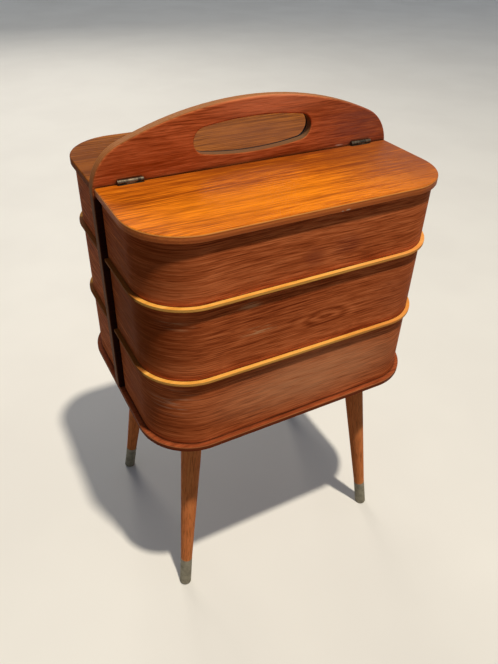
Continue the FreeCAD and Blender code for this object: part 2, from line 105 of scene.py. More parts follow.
class Graph:
    """Node graph of one material or world, with short ways to add and join nodes."""

    mix_first: ClassVar[int] = 6
    mix_second: ClassVar[int] = 7
    mix_result: ClassVar[int] = 2
    shift_shares: ClassVar[Triple] = (1.0, 0.7, 1.3)
    gap_samples: ClassVar[int] = 8

    def __init__(self, owner: Union[bpy.types.Material, bpy.types.World]) -> None:
        """Start an empty graph.

        Args:
            owner: The material or world whose nodes are built.
        """
        owner.use_nodes = True
        self.owner = owner
        self.tree = owner.node_tree
        self.tree.nodes.clear()

    def add(self, kind: str, **settings: object) -> bpy.types.Node:
        """Add a node.

        Args:
            kind: Blender's name of the node's type.
            **settings: Properties of the node to set.

        Returns:
            The new node.
        """
        node = self.tree.nodes.new(kind)
        for name, value in settings.items():
            setattr(node, name, value)
        return node

    def feed(self, target: Socket, value: Value) -> None:
        """Link a socket to a target, or set the target's own value.

        Args:
            target: The input to feed.
            value: A socket to link, a number or a colour.
        """
        if isinstance(value, bpy.types.NodeSocket):
            self.tree.links.new(value, target)
        elif isinstance(value, tuple) and target.type == "RGBA":
            target.default_value = (*value, 1.0)
        else:
            target.default_value = value

    def maths(self, operation: str, first: Value, second: Value = 0.0, third: Value = 0.0) -> Socket:
        """Add a Math node.

        Args:
            operation: The operation's name, such as "MULTIPLY".
            first: First input.
            second: Second input, where there is one.
            third: Third input, where there is one.

        Returns:
            The result's socket.
        """
        node = self.add("ShaderNodeMath", operation=operation)
        for socket, value in zip(node.inputs, (first, second, third)):
            self.feed(socket, value)
        return node.outputs[0]

    def vector(self, operation: str, first: Value, second: Value, result: str = "Vector") -> Socket:
        """Add a Vector Math node.

        Args:
            operation: The operation's name, such as "ADD".
            first: First input.
            second: Second input.
            result: Name of the output to use.

        Returns:
            The result's socket.
        """
        node = self.add("ShaderNodeVectorMath", operation=operation)
        self.feed(node.inputs[0], first)
        self.feed(node.inputs[1], second)
        return node.outputs[result]

    def noise(self, place: Socket, frequencies: Triple, detail: float = 4.0,
              roughness: float = 0.55, shift: float = 0.0) -> bpy.types.Node:
        """Add a noise pattern with its own frequency along each axis.

        Args:
            place: Coordinates in metres.
            frequencies: Cycles per metre along X, Y and Z.
            detail: Number of finer layers.
            roughness: Strength of the finer layers.
            shift: Moves the pattern, so that two pieces differ.

        Returns:
            The noise node.
        """
        mapping = self.add("ShaderNodeMapping")
        self.feed(mapping.inputs["Vector"], place)
        mapping.inputs["Scale"].default_value = frequencies
        mapping.inputs["Location"].default_value = tuple(shift * share for share in self.shift_shares)
        node = self.add("ShaderNodeTexNoise")
        self.feed(node.inputs["Vector"], mapping.outputs["Vector"])
        node.inputs["Scale"].default_value = 1.0
        node.inputs["Detail"].default_value = detail
        node.inputs["Roughness"].default_value = roughness
        return node

    def step(self, value: Value, low: float, high: float) -> Socket:
        """Turn a value into 0 below low and 1 above high, smooth between them.

        Args:
            value: The value.
            low: Where the result is 0.
            high: Where the result is 1; below low, the step is turned round.

        Returns:
            The result's socket.
        """
        turned_round = low > high
        node = self.add("ShaderNodeMapRange", interpolation_type="SMOOTHSTEP")
        self.feed(node.inputs["Value"], value)
        node.inputs["From Min"].default_value = min(low, high)
        node.inputs["From Max"].default_value = max(low, high)
        node.inputs["To Min"].default_value = 1.0 if turned_round else 0.0
        node.inputs["To Max"].default_value = 0.0 if turned_round else 1.0
        return node.outputs["Result"]

    def spread(self, value: Value, low: float, high: float, bottom: float, top: float) -> Socket:
        """Spread a value evenly from one range over another.

        Args:
            value: The value.
            low: Start of its range.
            high: End of its range.
            bottom: Result at the start.
            top: Result at the end.

        Returns:
            The result's socket.
        """
        node = self.add("ShaderNodeMapRange")
        self.feed(node.inputs["Value"], value)
        for name, number in (("From Min", low), ("From Max", high), ("To Min", bottom), ("To Max", top)):
            node.inputs[name].default_value = number
        return node.outputs["Result"]

    def blend(self, factor: Value, first: Value, second: Value) -> Socket:
        """Blend two colours.

        Args:
            factor: 0 for the first colour, 1 for the second.
            first: First colour.
            second: Second colour.

        Returns:
            The blended colour's socket.
        """
        node = self.add("ShaderNodeMix", data_type="RGBA")
        self.feed(node.inputs["Factor"], factor)
        self.feed(node.inputs[self.mix_first], first)
        self.feed(node.inputs[self.mix_second], second)
        return node.outputs[self.mix_result]

    def ramp(self, factor: Socket, stops: list[tuple[float, Colour]]) -> Socket:
        """Add a colour ramp.

        Args:
            factor: Place on the ramp.
            stops: Places and colours, in order.

        Returns:
            The colour's socket.
        """
        node = self.add("ShaderNodeValToRGB")
        while len(node.color_ramp.elements) < len(stops):
            node.color_ramp.elements.new(0.5)
        for element, (place, colour) in zip(node.color_ramp.elements, stops):
            element.position = place
            element.color = (*colour, 1.0)
        self.feed(node.inputs["Fac"], factor)
        return node.outputs["Color"]

    def bump(self, height: Socket, strength: float, distance: float) -> Socket:
        """Turn a height pattern into a shading normal.

        Args:
            height: The pattern.
            strength: From 0 to 1.
            distance: Depth of the pattern in metres.

        Returns:
            The normal's socket.
        """
        node = self.add("ShaderNodeBump")
        node.inputs["Strength"].default_value = strength
        node.inputs["Distance"].default_value = distance
        self.feed(node.inputs["Height"], height)
        return node.outputs["Normal"]

    def edges(self, reach: float) -> Socket:
        """Mask that is 1 on outer edges and fades to 0 a short way in from them.

        Args:
            reach: How far the mask comes in from the edge, in metres.

        Returns:
            The mask's socket.
        """
        node = self.add("ShaderNodeAmbientOcclusion", inside=True, only_local=True,
                        samples=self.gap_samples)
        node.inputs["Distance"].default_value = reach
        return self.step(node.outputs["AO"], low=0.86, high=0.45)

    def gap_shade_mask(self, reach: float) -> Socket:
        """Mask of painted shade: 1 deep in narrow gaps and in corners against other pieces, 0 in the open.

        Args:
            reach: How near the other surfaces are, in metres.

        Returns:
            The mask's socket.
        """
        node = self.add("ShaderNodeAmbientOcclusion", samples=self.gap_samples)
        node.inputs["Distance"].default_value = reach
        return self.step(node.outputs["AO"], low=0.85, high=0.40)

    def seen(self) -> Socket:
        """Tell what the camera sees, straight or in a reflection, from light that only bounces.

        Returns:
            The mask's socket: 1 for what the camera sees, 0 for the rest.
        """
        path = self.add("ShaderNodeLightPath").outputs
        direct = self.maths("MAXIMUM", path["Is Camera Ray"], path["Is Glossy Ray"])
        return self.maths("MAXIMUM", direct, path["Is Transmission Ray"])

    def surface(self, shader: bpy.types.Node) -> None:
        """Send a shader node to the output."""
        output = self.add("ShaderNodeOutputMaterial")
        self.tree.links.new(shader.outputs[0], output.inputs["Surface"])


# ---- finishes --------------------------------------------------------------------------------


@dataclass(frozen=True)
class Mark:
    """A scuffed, stained or faded place, and in some finishes a patch of painted light, shade or sheen: a
    soft ball of space in which the finish changes.

    Attributes:
        centre: Middle of the ball.
        reach: Half its size along each axis.
        tint: Colour that the place takes on.
        strength: Share of that colour in the middle.
        streaks: 0 for a nearly even patch, up to 1 for one broken up into streaks along the grain.
    """

    centre: Triple
    reach: Triple
    tint: Colour
    strength: float = 1.0
    streaks: float = 0.2


@dataclass(frozen=True)
class Figure:
    """Oval figure in the veneer, where the growth lines close into rings.

    Attributes:
        centre: Middle of the figure.
        reach: Half its size along each axis.
        rings: Number of rings from the middle to the rim.
        strength: How far the rings shift the tone.
    """

    centre: Triple
    reach: Triple
    rings: float
    strength: float


class Face(Enum):
    """Which faces of a board a tinted span takes in."""

    FLAT = "flat"
    SAWN = "sawn"


@dataclass(frozen=True)
class TintedSpan:
    """A stretch of a board with a tint of its own, the same at both ends of the board; used for stains and
    for painted highlights and shade.

    Attributes:
        centre: Middle of a box of space, on the board's positive end.
        half: Half its size along each axis.
        face: The faces in the box that take the tint.
        tint: Their colour.
        strength: Share of that colour.
    """

    centre: Triple
    half: Triple
    face: Face
    tint: Colour
    strength: float


@dataclass(frozen=True)
class Plies:
    """Lines that the plies show on the sawn edges of a board.

    Attributes:
        stack: Axis in which the plies are stacked.
        thickness: Thickness of a ply.
        start: Where the first ply begins on that axis.
        edge: Colour of a ply's sawn edge.
        line: Colour of the lines between the plies.
        ragged: How far the fibres break up the lines.
        kept: Share of the face's own colour that shows on the edges too.
    """

    stack: Stack
    thickness: float
    start: float
    edge: Colour
    line: Colour
    ragged: float = 0.35
    kept: float = 0.35


@dataclass(frozen=True)
class Wood:
    """Oiled wood: tone in broad bands, growth lines, fibres, open pores, marks, worn edges and painted
    shade in gaps and corners.

    Attributes:
        name: Name of the material.
        dark: Colour of its darkest streaks and of its pores.
        body: Colour of most of it.
        light: Colour of its lightest streaks.
        grain: Way in which its lines run on the axes.
        lean: Turn that brings a leaning piece's grain upright.
        shift: Moves the patterns, so that two pieces differ.
        band: Width of the broad bands, across the grain.
        line: Width of the growth lines.
        fibre: Width of the fibres.
        fleck: Fibres' cycles per metre with the grain.
        wander: How far the lines stray across the grain.
        contrast: Strength of all the patterns together.
        shares: Strength of bands, lines, fibres and mottle.
        pores: Strength of the pores.
        roughness: Middle roughness of the surface.
        gloss: Specular level.
        wear: How much of the edges is rubbed bare.
        gap_shading: Strength of the painted shade in gaps and corners.
        bare: Colour of the wood where it is rubbed.
        plies: Plies on its sawn edges, if it is a board that shows them.
        figures: Oval figures in it.
        marks: Marks on it, later ones over earlier ones.
        tinted_spans: Tinted spans on it, stains and painted highlights and shade, under the marks; they
            need plies.
    """

    name: str
    dark: Colour
    body: Colour
    light: Colour
    grain: Grain = Grain.ALONG_BOARD
    lean: Triple = (0.0, 0.0, 0.0)
    shift: float = 0.0
    band: float = 0.024
    line: float = 0.0052
    fibre: float = 0.0014
    fleck: float = 60.0
    wander: float = 0.010
    contrast: float = 1.0
    shares: tuple[float, float, float, float] = (0.45, 0.6, 0.9, 0.6)
    pores: float = 0.55
    roughness: float = 0.50
    gloss: float = 0.02
    wear: float = 0.5
    gap_shading: float = 0.8
    bare: Colour = (0.60, 0.34, 0.16)
    plies: Optional[Plies] = None
    figures: tuple[Figure, ...] = ()
    marks: tuple[Mark, ...] = ()
    tinted_spans: tuple[TintedSpan, ...] = ()

    # The same in every wood.
    tones: ClassVar[Triple] = (0.22, 0.5, 0.78)
    # Painted shade in gaps and corners: its colour, and how near other surfaces must be for it.
    dirt: ClassVar[Colour] = (0.016, 0.006, 0.003)
    dirt_reach: ClassVar[float] = 5 * MM
    worn_reach: ClassVar[float] = 1.3 * MM
    worn_from: ClassVar[float] = 0.66
    worn_to: ClassVar[float] = 0.82
    worn_spread: ClassVar[float] = 0.2
    stray_push: ClassVar[float] = 4.0
    mottle_frequencies: ClassVar[Triple] = (11.0, 11.0, 16.0)
    patch_frequencies: ClassVar[Triple] = (42.0, 42.0, 42.0)
    pore_roughness: ClassVar[float] = 0.12
    pore_depth: ClassVar[float] = 0.7
    bare_roughness: ClassVar[float] = 0.25
    relief: ClassVar[float] = 0.25 * MM
    relief_strength: ClassVar[float] = 0.35

    def material(self) -> bpy.types.Material:
        """Build the material.

        Returns:
            The new material.
        """
        graph = Graph(bpy.data.materials.new(self.name))
        place = self._place(graph)
        strayed = self._strayed(graph, place)
        band = graph.noise(strayed, self.grain.frequencies(long=1.6, fine=1 / self.band),
                           detail=2.0, roughness=0.5, shift=self.shift)
        line = graph.noise(strayed, self.grain.frequencies(long=5.0, fine=1 / self.line),
                           detail=3.0, roughness=0.6, shift=self.shift + 3)
        fibre = graph.noise(strayed, self.grain.frequencies(long=self.fleck, fine=1 / self.fibre),
                            detail=2.0, roughness=0.7, shift=self.shift + 7)
        mottle = graph.noise(place, self.mottle_frequencies,
                             detail=3.0, roughness=0.6, shift=self.shift + 11)
        tone = self._figured(graph, place, line, self._tone(graph, band, line, fibre, mottle))
        colour = graph.ramp(tone, list(zip(self.tones, (self.dark, self.body, self.light))))
        pores = self._pores(graph, strayed)
        colour = graph.blend(graph.maths("MULTIPLY", pores, self.pores), colour, self.dark)
        if self.plies:
            sawn = self._sawn(graph)
            colour = graph.blend(sawn, colour, self._plied(graph, place, fibre, colour))
            # Stains, and painted highlights and shade, on chosen faces of the board.
            colour = self._tint_spans(graph, place, sawn, colour)
        colour = self._marked(graph, place, colour)
        worn = self._worn(graph, place)
        colour = graph.blend(worn, colour, self.bare)
        # Painted shade: darken the colour where other surfaces are near, in gaps and corners.
        gap_shaded = graph.maths("MULTIPLY", graph.gap_shade_mask(self.dirt_reach), self.gap_shading)
        colour = graph.blend(gap_shaded, colour, self.dirt)
        self._shade(graph, colour, fibre, pores, worn)
        return graph.owner

    def _place(self, graph: Graph) -> Socket:
        """Coordinates on the piece, turned so that the grain runs along an axis.

        Args:
            graph: The graph of the material.

        Returns:
            The coordinates' socket.
        """
        coordinates = graph.add("ShaderNodeTexCoord").outputs["Object"]
        if not any(self.lean):
            return coordinates
        mapping = graph.add("ShaderNodeMapping")
        graph.feed(mapping.inputs["Vector"], coordinates)
        mapping.inputs["Rotation"].default_value = self.lean
        return mapping.outputs["Vector"]

    def _strayed(self, graph: Graph, place: Socket) -> Socket:
        """Coordinates pushed a little across the grain, so that the lines wander and close.

        Args:
            graph: The graph of the material.
            place: Coordinates on the piece.

        Returns:
            The pushed coordinates' socket.
        """
        slow = graph.noise(place, self.grain.frequencies(long=3.2, fine=9.0),
                           detail=1.5, roughness=0.5, shift=self.shift + 19)
        centred = graph.vector("SUBTRACT", slow.outputs["Color"], (0.5, 0.5, 0.5))
        reach = self.grain.wander(self.stray_push * self.wander)
        push = graph.vector("MULTIPLY", centred, reach)
        return graph.vector("ADD", place, push)

    def _tone(self, graph: Graph, band: bpy.types.Node, line: bpy.types.Node,
              fibre: bpy.types.Node, mottle: bpy.types.Node) -> Socket:
        """Mix the layers by their shares into one place on the ramp, 0.5 in the middle.

        Args:
            graph: The graph of the material.
            band: Noise of the broad bands.
            line: Noise of the growth lines.
            fibre: Noise of the fibres.
            mottle: Noise of the mottle.

        Returns:
            The tone's socket.
        """
        total: Value = 0.5
        for node, share in zip((band, line, fibre, mottle), self.shares):
            centred = graph.maths("SUBTRACT", node.outputs["Fac"], 0.5)
            total = graph.maths("MULTIPLY_ADD", centred, share * self.contrast, total)
        return total

    def _figured(self, graph: Graph, place: Socket, line: bpy.types.Node, tone: Socket) -> Socket:
        """Add the rings of the oval figures to the tone, made uneven by the growth lines.

        Args:
            graph: The graph of the material.
            place: Coordinates on the piece.
            line: Noise of the growth lines.
            tone: The tone so far.

        Returns:
            The new tone's socket.
        """
        for figure in self.figures:
            away = graph.vector("DIVIDE", graph.vector("SUBTRACT", place, figure.centre), figure.reach)
            distance = graph.vector("LENGTH", away, (0.0, 0.0, 0.0), "Value")
            uneven = graph.maths("MULTIPLY_ADD", line.outputs["Fac"], 0.5, distance)
            wave = graph.maths("SINE", graph.maths("MULTIPLY", uneven, 2 * math.pi * figure.rings))
            near = graph.maths("MULTIPLY", graph.step(distance, low=1.0, high=0.3), figure.strength)
            tone = graph.maths("MULTIPLY_ADD", wave, near, tone)
        return tone

    def _pores(self, graph: Graph, place: Socket) -> Socket:
        """Short dark flecks along the grain.

        Args:
            graph: The graph of the material.
            place: Coordinates on the piece, pushed across the grain.

        Returns:
            The mask's socket, 1 in the pores.
        """
        fleck = graph.noise(place, self.grain.frequencies(long=70.0, fine=900.0),
                            detail=1.0, roughness=0.5, shift=self.shift + 23)
        return graph.step(fleck.outputs["Fac"], low=0.56, high=0.68)

    def _sawn(self, graph: Graph) -> Socket:
        """Tell the sawn edges of a board from its flat faces.

        Args:
            graph: The graph of the material.

        Returns:
            The mask's socket: 1 on the edges, 0 on the faces.
        """
        normal = graph.add("ShaderNodeNewGeometry").outputs["True Normal"]
        along = graph.vector("DOT_PRODUCT", normal, self.plies.stack.value, "Value")
        return graph.step(graph.maths("ABSOLUTE", along), low=0.75, high=0.35)

    def _plied(self, graph: Graph, place: Socket, fibre: bpy.types.Node, colour: Socket) -> Socket:
        """Lines of the plies, as the sawn edges show them.

        Args:
            graph: The graph of the material.
            place: Coordinates on the piece.
            fibre: Noise of the fibres.
            colour: The wood's own colour.

        Returns:
            The edges' colour.
        """
        plies = self.plies
        depth = graph.vector("DOT_PRODUCT", place, plies.stack.value, "Value")
        count = graph.maths("DIVIDE", graph.maths("SUBTRACT", depth, plies.start), plies.thickness)
        wave = graph.maths("PINGPONG", count, 1.0)
        uneven = graph.maths("MULTIPLY_ADD", fibre.outputs["Fac"], plies.ragged, wave)
        edge = graph.blend(graph.step(uneven, low=0.62, high=0.92), plies.edge, plies.line)
        return graph.blend(plies.kept, edge, colour)

    def _tint_spans(self, graph: Graph, place: Socket, sawn: Socket, colour: Socket) -> Socket:
        """Tint the spans, stains and painted highlights and shade, each on its own faces only.

        Args:
            graph: The graph of the material.
            place: Coordinates on the piece.
            sawn: Mask of the sawn edges.
            colour: The colour so far.

        Returns:
            The stained colour.
        """
        for tinted_span in self.tinted_spans:
            parts = graph.add("ShaderNodeSeparateXYZ")
            graph.feed(parts.inputs[0], place)
            along = graph.maths("ABSOLUTE", parts.outputs[0])
            away: Value = 0.0
            for part, middle, half in zip((along, *parts.outputs[1:]), tinted_span.centre, tinted_span.half):
                off = graph.maths("ABSOLUTE", graph.maths("SUBTRACT", part, middle))
                away = graph.maths("MAXIMUM", away, graph.maths("DIVIDE", off, half))
            inside = graph.step(away, low=1.03, high=0.97)
            faces = sawn if tinted_span.face is Face.SAWN else graph.maths("SUBTRACT", 1.0, sawn)
            factor = graph.maths("MULTIPLY", graph.maths("MULTIPLY", inside, faces), tinted_span.strength)
            colour = graph.blend(factor, colour, tinted_span.tint)
        return colour

    def _marked(self, graph: Graph, place: Socket, colour: Socket) -> Socket:
        """Tint the places of the marks, each broken up along the grain by its share of streaks.

        Args:
            graph: The graph of the material.
            place: Coordinates on the piece.
            colour: The colour so far.

        Returns:
            The marked colour.
        """
        for number, mark in enumerate(self.marks):
            away = graph.vector("DIVIDE", graph.vector("SUBTRACT", place, mark.centre), mark.reach)
            distance = graph.vector("LENGTH", away, (0.0, 0.0, 0.0), "Value")
            near = graph.step(distance, low=1.0, high=0.15)
            torn = graph.noise(place, self.grain.frequencies(long=28.0, fine=420.0),
                               detail=4.0, roughness=0.7, shift=5.0 * number + 2)
            broken = graph.step(torn.outputs["Fac"], low=0.5 * mark.streaks, high=0.62)
            factor = graph.maths("MULTIPLY", graph.maths("MULTIPLY", near, broken), mark.strength)
            colour = graph.blend(factor, colour, mark.tint)
        return colour

    def _worn(self, graph: Graph, place: Socket) -> Socket:
        """Mask of the edges where the oil has rubbed through, in patches.

        Args:
            graph: The graph of the material.
            place: Coordinates on the piece.

        Returns:
            The mask's socket, 1 where the wood is bare.
        """
        patch = graph.noise(place, self.patch_frequencies,
                            detail=5.0, roughness=0.65, shift=self.shift + 31)
        more = self.worn_spread * self.wear
        bare = graph.step(patch.outputs["Fac"], low=self.worn_from - more, high=self.worn_to - more)
        return graph.maths("MULTIPLY", graph.edges(self.worn_reach), bare)

    def _shade(self, graph: Graph, colour: Socket, fibre: bpy.types.Node, pores: Socket,
               worn: Socket) -> None:
        """Join colour, gloss and relief in the shader.

        Args:
            graph: The graph of the material.
            colour: The finished colour.
            fibre: Noise of the fibres.
            pores: Mask of the pores.
            worn: Mask of the bare edges.
        """
        shader = graph.add("ShaderNodeBsdfPrincipled")
        graph.feed(shader.inputs["Base Color"], colour)
        rough = graph.spread(fibre.outputs["Fac"], low=0.3, high=0.7,
                             bottom=self.roughness - 0.05, top=self.roughness + 0.07)
        rough = graph.maths("MULTIPLY_ADD", pores, self.pore_roughness, rough)
        rough = graph.maths("MULTIPLY_ADD", worn, self.bare_roughness, rough)
        graph.feed(shader.inputs["Roughness"], rough)
        shader.inputs["Specular IOR Level"].default_value = self.gloss
        height = graph.maths("MULTIPLY_ADD", pores, -self.pore_depth, fibre.outputs["Fac"])
        graph.feed(shader.inputs["Normal"], graph.bump(height, self.relief_strength, self.relief))
        graph.surface(shader)


@dataclass(frozen=True)
class AgedMetal:
    """Old metal: cloudy tarnish, rubbed edges and fine scratches.

    Attributes:
        name: Name of the material.
        clean: Colour where it is bright.
        tarnish: Colour where it is dull.
        roughness: Roughness where it is bright.
        metallic: How metallic the shader is.
        cloud: Size of the clouds of tarnish.
        scratches: Scratches' cycles per metre along each axis.
        rubbed: How bright the edges are.
    """

    name: str
    clean: Colour
    tarnish: Colour
    roughness: float = 0.45
    metallic: float = 0.7
    cloud: float = 0.009
    scratches: Triple = (120.0, 120.0, 2600.0)
    rubbed: float = 0.6

    # The same in every metal.
    rubbed_reach: ClassVar[float] = 0.5 * MM
    scratch_share: ClassVar[float] = 0.35
    relief: ClassVar[float] = 0.12 * MM
    relief_strength: ClassVar[float] = 0.25

    def material(self) -> bpy.types.Material:
        """Build the material.

        Returns:
            The new material.
        """
        graph = Graph(bpy.data.materials.new(self.name))
        place = graph.add("ShaderNodeTexCoord").outputs["Object"]
        cloud = graph.noise(place, (1 / self.cloud,) * 3, detail=5.0, roughness=0.62)
        scratch = graph.noise(place, self.scratches, detail=2.0, roughness=0.6, shift=5.0)
        tone = graph.maths("MULTIPLY_ADD", scratch.outputs["Fac"], self.scratch_share,
                           cloud.outputs["Fac"])
        colour = graph.blend(graph.step(tone, low=0.52, high=0.84), self.clean, self.tarnish)
        bright = graph.maths("MULTIPLY", graph.edges(self.rubbed_reach), self.rubbed)
        colour = graph.blend(bright, colour, self.clean)
        shader = graph.add("ShaderNodeBsdfPrincipled")
        graph.feed(shader.inputs["Base Color"], colour)
        shader.inputs["Metallic"].default_value = self.metallic
        rough = graph.spread(tone, low=0.4, high=0.9,
                             bottom=self.roughness - 0.08, top=self.roughness + 0.2)
        graph.feed(shader.inputs["Roughness"], rough)
        graph.feed(shader.inputs["Normal"], graph.bump(tone, self.relief_strength, self.relief))
        graph.surface(shader)
        return graph.owner


@dataclass(frozen=True)
class PaleFloor:
    """Plain pale floor with a faint satin cloudiness, which throws little light back up.

    Attributes:
        name: Name of the material.
        colour: Colour of most of it.
        shade: Colour of its fainter clouds.
        thrown_back: Colour that it has for light that only bounces.
        gloss: Specular level.
    """

    name: str = "pale_floor"
    colour: Colour = (0.90, 0.85, 0.76)
    shade: Colour = (0.87, 0.82, 0.735)
    thrown_back: Colour = (0.17, 0.16, 0.145)
    gloss: float = 0.15

    def material(self) -> bpy.types.Material:
        """Build the material.

        Returns:
            The new material.
        """
        graph = Graph(bpy.data.materials.new(self.name))
        place = graph.add("ShaderNodeTexCoord").outputs["Object"]
        cloud = graph.noise(place, (3.0, 3.0, 3.0), detail=3.0)
        shader = graph.add("ShaderNodeBsdfPrincipled")
        clouded = graph.step(cloud.outputs["Fac"], low=0.35, high=0.65)
        colour = graph.blend(clouded, self.colour, self.shade)
        graph.feed(shader.inputs["Base Color"], graph.blend(graph.seen(), self.thrown_back, colour))
        shader.inputs["Specular IOR Level"].default_value = self.gloss
        rough = graph.spread(cloud.outputs["Fac"], low=0.3, high=0.7, bottom=0.42, top=0.5)
        graph.feed(shader.inputs["Roughness"], rough)
        graph.surface(shader)
        return graph.owner


Finish = Union[Wood, AgedMetal, PaleFloor]


# ---- workshop --------------------------------------------------------------------------------


class Workshop:
    """Finishes made once each, and the way in which pieces are dressed in them."""

    join_within: ClassVar[float] = 1e-6
    flat_within: ClassVar[float] = math.radians(0.4)
    sharp_from: ClassVar[float] = math.radians(30)

    def __init__(self) -> None:
        """Start with no finish made."""
        self._made: dict[str, bpy.types.Material] = {}

    def finish(self, finish: Finish) -> bpy.types.Material:
        """The material of a finish, built at its first use.

        Args:
            finish: The finish.

        Returns:
            Its material.
        """
        if finish.name not in self._made:
            self._made[finish.name] = finish.material()
        return self._made[finish.name]

    def dress(self, piece: bpy.types.Object, finish: Finish, rounding: float = 0.0,
              segments: int = 2) -> bpy.types.Object:
        """Give a piece its finish and round its edges.

        Args:
            piece: The piece, a node of the construction model or a new one.
            finish: Its finish.
            rounding: Width of the rounded edges in metres, or 0 for none.
            segments: Number of steps in the rounding.

        Returns:
            The piece.
        """
        material = self.finish(finish)
        if not piece.material_slots:
            piece.data.materials.append(material)
        for slot in piece.material_slots:
            slot.link = "OBJECT"
            slot.material = material
        if rounding:
            self._round(piece, rounding, segments)
        log.info("%s: %s", piece.name, finish.name)
        return piece

    def _round(self, piece: bpy.types.Object, width: float, segments: int) -> None:
        """Join loose triangles, clear flat faces of their diagonals and round the sharp edges.

        Args:
            piece: The piece.
            width: Width of the rounded edges.
            segments: Number of steps in the rounding.
        """
        weld = piece.modifiers.new("joined", "WELD")
        weld.merge_threshold = self.join_within
        flats = piece.modifiers.new("flats", "DECIMATE")
        flats.decimate_type = "DISSOLVE"
        flats.angle_limit = self.flat_within
        bevel = piece.modifiers.new("rounded", "BEVEL")
        bevel.width = width
        bevel.segments = segments
        bevel.limit_method = "ANGLE"
        bevel.angle_limit = self.sharp_from
        bevel.harden_normals = True
        bevel.miter_outer = "MITER_ARC"
        even = piece.modifiers.new("even", "WEIGHTED_NORMAL")
        even.keep_sharp = True


class Screw:
    """Slotted countersunk screw head, modelled once and copied to each of its places.

    The rim and the crown rise by shares of the head's height, and the widths of the rim, the
    crown's slope and the slot are shares of its radius.
    """

    sides: ClassVar[int] = 28
    sunk: ClassVar[float] = 0.6 * MM
    rim_width: ClassVar[float] = 0.12
    rim_rise: ClassVar[float] = 0.7
    slope_width: ClassVar[float] = 0.3
    slope_rise: ClassVar[float] = 0.3
    slot_half: ClassVar[float] = 0.17
    slot_inside: ClassVar[float] = 0.98
    slot_reach: ClassVar[float] = 0.97
    slot_depth: ClassVar[float] = 0.35 * MM
    first_turn: ClassVar[float] = 0.5
    next_turn: ClassVar[float] = 1.9
    upward: ClassVar[float] = 0.5

    def __init__(self, radius: float, proud: float) -> None:
        """Model the head upright on the origin, its rim level with the wood.

        Args:
            radius: Radius of the head in metres.
            proud: How far its crown stands above the wood.
        """
        bpy.ops.object.select_all(action="DESELECT")
        bpy.ops.mesh.primitive_cylinder_add(vertices=self.sides, radius=radius, depth=self.sunk,
                                            location=(0, 0, -self.sunk / 2))
        self.pattern = bpy.context.object
        self.radius = radius
        bpy.ops.object.mode_set(mode="EDIT")
        self._pick(lambda centre, normal: normal.z > self.upward)
        bpy.ops.mesh.inset(thickness=self.rim_width * radius)
        bpy.ops.transform.translate(value=(0, 0, self.rim_rise * proud))
        bpy.ops.mesh.inset(thickness=self.slope_width * radius)
        bpy.ops.transform.translate(value=(0, 0, self.slope_rise * proud))
        self._cut_slot(self.slot_half * radius)
        bpy.ops.object.mode_set(mode="OBJECT")
        bpy.context.view_layer.update()

    def _pick(self, wanted: Callable[[Vector, Vector], bool]) -> None:
        """Select some of the pattern's faces.

        Args:
            wanted: Says from a face's centre and normal whether to select it.
        """
        bpy.ops.mesh.select_all(action="DESELECT")
        bpy.ops.mesh.select_mode(type="FACE")
        bpy.ops.object.mode_set(mode="OBJECT")
        for face in self.pattern.data.polygons:
            face.select = wanted(face.center, face.normal)
        bpy.ops.object.mode_set(mode="EDIT")

    def _cut_slot(self, half: float) -> None:
        """Press the driver's slot into the crown.

        Args:
            half: Half the width of the slot.
        """
        for side in (-half, half):
            bpy.ops.mesh.select_all(action="SELECT")
            bpy.ops.mesh.bisect(plane_co=(0, side, 0), plane_no=(0, 1, 0))
        self._pick(lambda centre, normal: normal.z > self.upward
                   and abs(centre.x) < self.radius * self.slot_reach
                   and abs(centre.y) < half * self.slot_inside)
        bpy.ops.mesh.extrude_region_move(TRANSFORM_OT_translate={"value": (0, 0, -self.slot_depth)})

    def set_in(self, name: str, places: list[Vector], facing: Vector) -> bpy.types.Object:
        """Put copies of the head in their places and join them in one piece.

        Args:
            name: Name of the piece.
            places: Points on the wood or metal, one for each screw.
            facing: The way the heads face.

        Returns:
            The new piece, at the origin, with its place in its mesh.
        """
        turn = facing.to_track_quat("Z", "Y").to_matrix().to_4x4()
        heads = []
        for number, place in enumerate(places):
            head = self.pattern.copy()
            head.data = self.pattern.data.copy()
            bpy.context.scene.collection.objects.link(head)
            spin = Matrix.Rotation(self.first_turn + self.next_turn * number, 4, "Z")
            head.data.transform(Matrix.Translation(place) @ turn @ spin)
            heads.append(head)
        bpy.ops.object.select_all(action="DESELECT")
        for head in heads:
            head.select_set(True)
        bpy.context.view_layer.objects.active = heads[0]
        if len(heads) > 1:
            bpy.ops.object.join()
        piece = bpy.context.view_layer.objects.active
        piece.name = name
        piece.matrix_world = Matrix.Identity(4)
        bpy.ops.object.shade_smooth_by_angle(angle=Workshop.sharp_from)
        return piece

    def put_away(self) -> None:
        """Remove the pattern once the copies are made."""
        bpy.data.objects.remove(self.pattern)


# ---- finishes of this box --------------------------------------------------------------------

